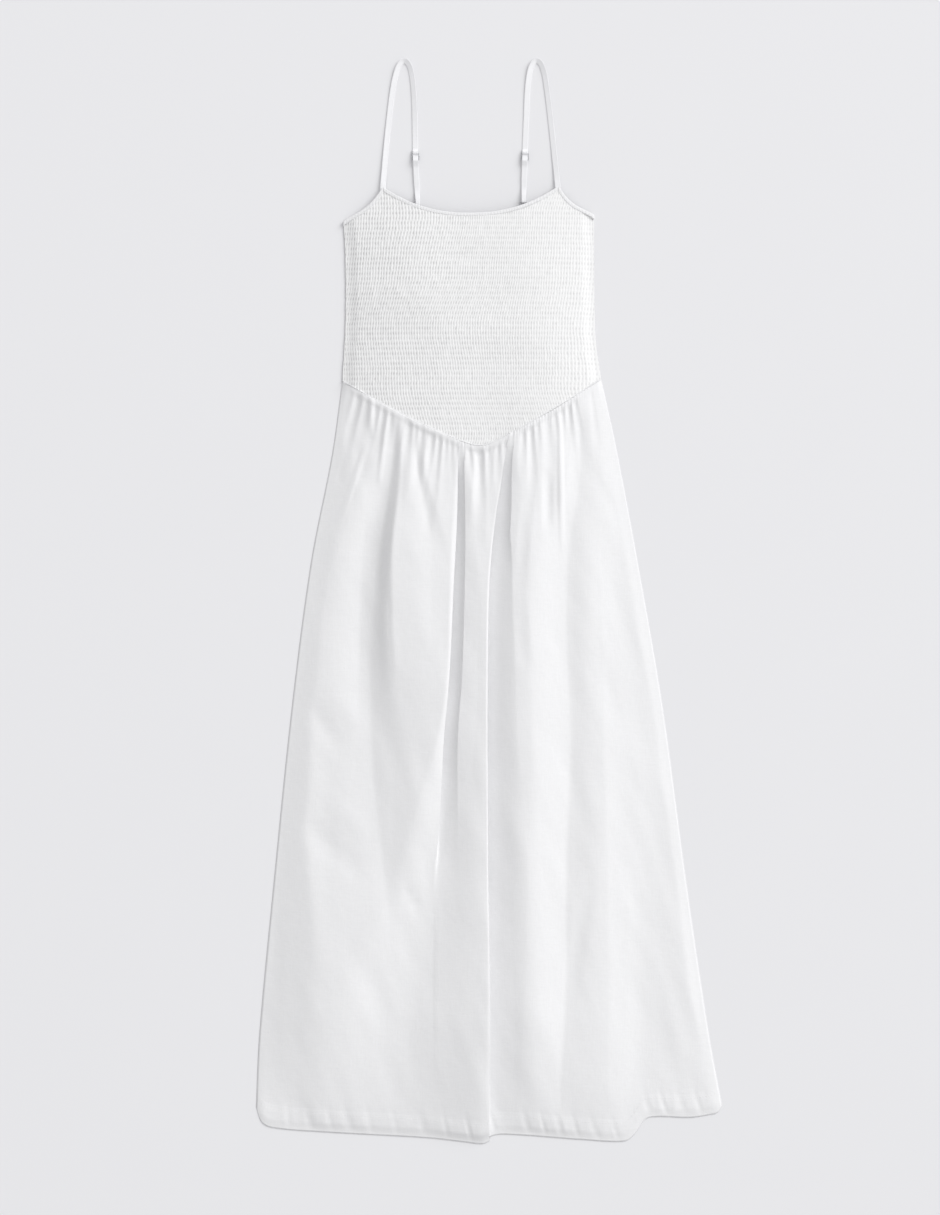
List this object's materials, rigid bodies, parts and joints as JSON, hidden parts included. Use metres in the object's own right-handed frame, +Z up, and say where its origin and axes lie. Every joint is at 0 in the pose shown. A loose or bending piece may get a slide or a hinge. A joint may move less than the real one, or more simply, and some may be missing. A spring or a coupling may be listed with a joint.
{
  "type": "sleeveless maxi dress",
  "caption": "White cotton maxi dress laid flat face up: smocked bodice with a V waist seam, long gathered skirt with a turned hem, bound edges and narrow adjustable straps.",
  "frame": {"origin": "on the surface that the dress lies on, under the middle of its outline", "axes": "+X across the dress to the right as it is seen from above, +Y along it towards the neck and straps, +Z up from the surface"},
  "size_m": [0.559, 1.3, 0.0269],
  "materials": {
    "cotton": "matt woven cotton",
    "smocked_cotton": "matt woven cotton shirred with elastic thread",
    "strap": "matt cotton turned into narrow straps and bindings",
    "metal": "small plated strap fittings"
  },
  "bodies": {
    "root": {"bodice_front": "smocked_cotton", "bodice_back": "smocked_cotton", "skirt_front": "cotton", "skirt_back": "cotton", "neckline_binding": "strap", "armhole_binding_left": "strap", "armhole_binding_right": "strap", "back_binding": "strap", "strap_left": "strap", "strap_right": "strap", "slider_left": "metal", "slider_right": "metal", "ring_left": "metal", "ring_right": "metal", "ring_tab_left": "strap", "ring_tab_right": "strap"}
  },
  "joints": []
}
